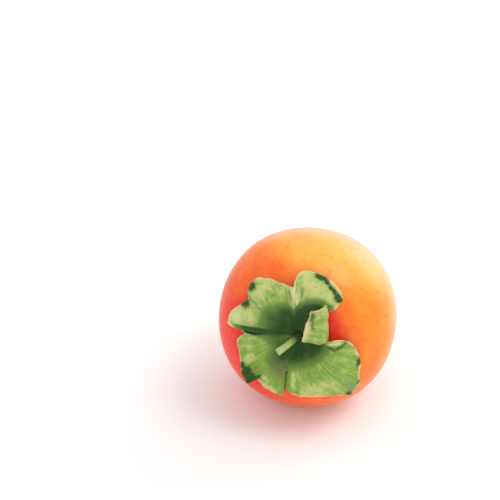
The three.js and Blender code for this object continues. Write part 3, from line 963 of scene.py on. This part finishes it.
class PERSIMMON_OT_stem(bpy.types.Operator):
    """Add the stub of stem, in place of the plain solid"""

    bl_idname = "persimmon.stem"
    bl_label = "Stem"

    def execute(self, context):
        scene = context.scene
        fruit, calyx, stem = scene.persimmon_fruit, scene.persimmon_calyx, scene.persimmon_stem
        slice_count, bend_count = 24, 400
        bpy.ops.object.select_all(action="DESELECT")
        bpy.ops.mesh.primitive_cylinder_add(vertices=40, radius=1, depth=1, end_fill_type="TRIFAN")
        piece = context.object
        bpy.ops.object.mode_set(mode="EDIT")
        for cut in range(1, slice_count):
            bpy.ops.mesh.select_all(action="SELECT")
            bpy.ops.mesh.bisect(plane_co=(0, 0, cut / slice_count - 0.5), plane_no=(0, 0, 1))
        bpy.ops.object.mode_set(mode="OBJECT")
        points = read_points(piece)
        share = points[:, 2] + 0.5
        turn = np.arctan2(points[:, 1], points[:, 0])
        radial = np.hypot(points[:, 0], points[:, 1])
        bend = (np.arange(bend_count) + 0.5) / bend_count
        lean = stem.foot_lean + (stem.end_lean - stem.foot_lean) * bend
        aside = np.concatenate([[0], np.cumsum(np.sin(lean))]) * stem.length / bend_count
        rise = np.concatenate([[0], np.cumsum(np.cos(lean))]) * stem.length / bend_count
        lean_here = stem.foot_lean + (stem.end_lean - stem.foot_lean) * share
        lean_here = np.where(share < 1e-6, 0, lean_here)
        flare = (stem.foot_radius - stem.radius) * np.exp(-share * 8)
        swell = (stem.end_radius - stem.radius) * ease((share - 0.6) / 0.4)
        radius = (stem.radius + flare + swell) * radial
        bends = np.linspace(0, 1, bend_count + 1)
        centre_aside, centre_rise = np.interp(share, bends, aside), np.interp(share, bends, rise)
        toward = centre_aside + radius * np.cos(turn) * np.cos(lean_here)
        height = centre_rise - radius * np.cos(turn) * np.sin(lean_here)
        across = radius * np.sin(turn)
        disc = sheet_grid(fruit, calyx, np.array([0.0]), 8)[0, 0, 2]
        height = height + disc + calyx.thickness / 2 + STEM_CLEARANCE
        cosine, sine = math.cos(stem.bearing), math.sin(stem.bearing)
        shaped = np.stack(
            [toward * cosine - across * sine, toward * sine + across * cosine, height], axis=-1
        )
        write_points(piece, lay_down(shaped, laying_matrix(fruit)))
        add_attribute(piece, "cut", (share > 0.999) * (radial < 0.99))
        add_attribute(piece, "foot", 1 - ease((share - 0.15) / 0.4))
        tidy_mesh(piece)
        name_piece(piece, "persimmon_stem", stem_material(stem))
        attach(piece, "root")
        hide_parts("stem")
        return {"FINISHED"}


def add_soft_light(name, place, aim, size, watts):
    bpy.ops.object.light_add(type="AREA", location=place)
    light = bpy.context.object
    light.name = name
    light.data.size = size
    light.data.energy = watts
    light.rotation_euler = (Vector(aim) - Vector(place)).to_track_quat("-Z", "Y").to_euler()


def add_camera(stage, target):
    """Puts the target at its place in the picture."""
    sine, cosine = math.sin(stage.azimuth), math.cos(stage.azimuth)
    forward = Vector((-sine, cosine, 0)) * math.cos(stage.elevation)
    forward.z = -math.sin(stage.elevation)
    right = Vector((cosine, sine, 0))
    up = right.cross(forward)
    focal = stage.lens / SENSOR_WIDTH * PICTURE_WIDTH
    across, down = stage.place_x - PICTURE_WIDTH / 2, stage.place_y - PICTURE_WIDTH / 2
    ray = (right * across - up * down + forward * focal).normalized()
    bpy.ops.object.camera_add(location=target - ray * stage.distance)
    camera = bpy.context.object
    camera.name = "camera"
    camera.data.lens = stage.lens
    camera.data.sensor_width = SENSOR_WIDTH
    camera.data.clip_start = 0.01
    camera.rotation_euler = Matrix((right, up, -forward)).transposed().to_euler()
    bpy.context.scene.camera = camera


class PERSIMMON_OT_stage(bpy.types.Operator):
    """Add the floor, the lights and the camera"""

    bl_idname = "persimmon.stage"
    bl_label = "Stage"

    def execute(self, context):
        scene, stage = context.scene, context.scene.persimmon_stage
        bpy.ops.object.select_all(action="DESELECT")
        bpy.ops.mesh.primitive_plane_add(size=6)
        floor = context.object
        box = Paintbox("floor_paper")
        box.body = stage.floor
        name_piece(floor, "floor", box.finish({"Roughness": 0.9}))
        middle = laying_matrix(scene.persimmon_fruit).translation
        powers = (stage.key_power, stage.fill_power, stage.rim_power)
        for (name, place, size), watts in zip(LAMPS, powers):
            add_soft_light(name, place, middle, size, watts)
        world = bpy.data.worlds.new("studio")
        world.use_nodes = True
        world.node_tree.nodes["Background"].inputs["Color"].default_value = (1, 1, 1, 1)
        world.node_tree.nodes["Background"].inputs["Strength"].default_value = stage.daylight
        scene.world = world
        scene.view_settings.view_transform = "Standard"
        add_camera(stage, middle)
        return {"FINISHED"}


class PERSIMMON_PT_panel(bpy.types.Panel):
    """Lists the pieces in the order in which they are made"""

    bl_label = "Persimmon"
    bl_idname = "PERSIMMON_PT_panel"
    bl_space_type = "VIEW_3D"
    bl_region_type = "UI"
    bl_category = "Persimmon"

    def draw(self, context):
        for operator in OPERATORS:
            self.layout.operator(operator.bl_idname)


OPERATORS = (PERSIMMON_OT_stage, PERSIMMON_OT_fruit, PERSIMMON_OT_calyx, PERSIMMON_OT_stem)
SETTINGS = {
    "persimmon_fruit": PersimmonFruitSettings,
    "persimmon_calyx": PersimmonCalyxSettings,
    "persimmon_stem": PersimmonStemSettings,
    "persimmon_stage": PersimmonStageSettings,
}


def register():
    for settings in SETTINGS.values():
        bpy.utils.register_class(settings)
    for operator in OPERATORS:
        bpy.utils.register_class(operator)
    bpy.utils.register_class(PERSIMMON_PT_panel)
    for name, settings in SETTINGS.items():
        setattr(bpy.types.Scene, name, PointerProperty(type=settings))


def unregister():
    for name in SETTINGS:
        delattr(bpy.types.Scene, name)
    bpy.utils.unregister_class(PERSIMMON_PT_panel)
    for operator in reversed(OPERATORS):
        bpy.utils.unregister_class(operator)
    for settings in reversed(SETTINGS.values()):
        bpy.utils.unregister_class(settings)


def main():
    register()
    bpy.ops.persimmon.stage()
    bpy.ops.persimmon.fruit()
    bpy.ops.persimmon.calyx()
    bpy.ops.persimmon.stem()


if __name__ == "__main__":
    main()
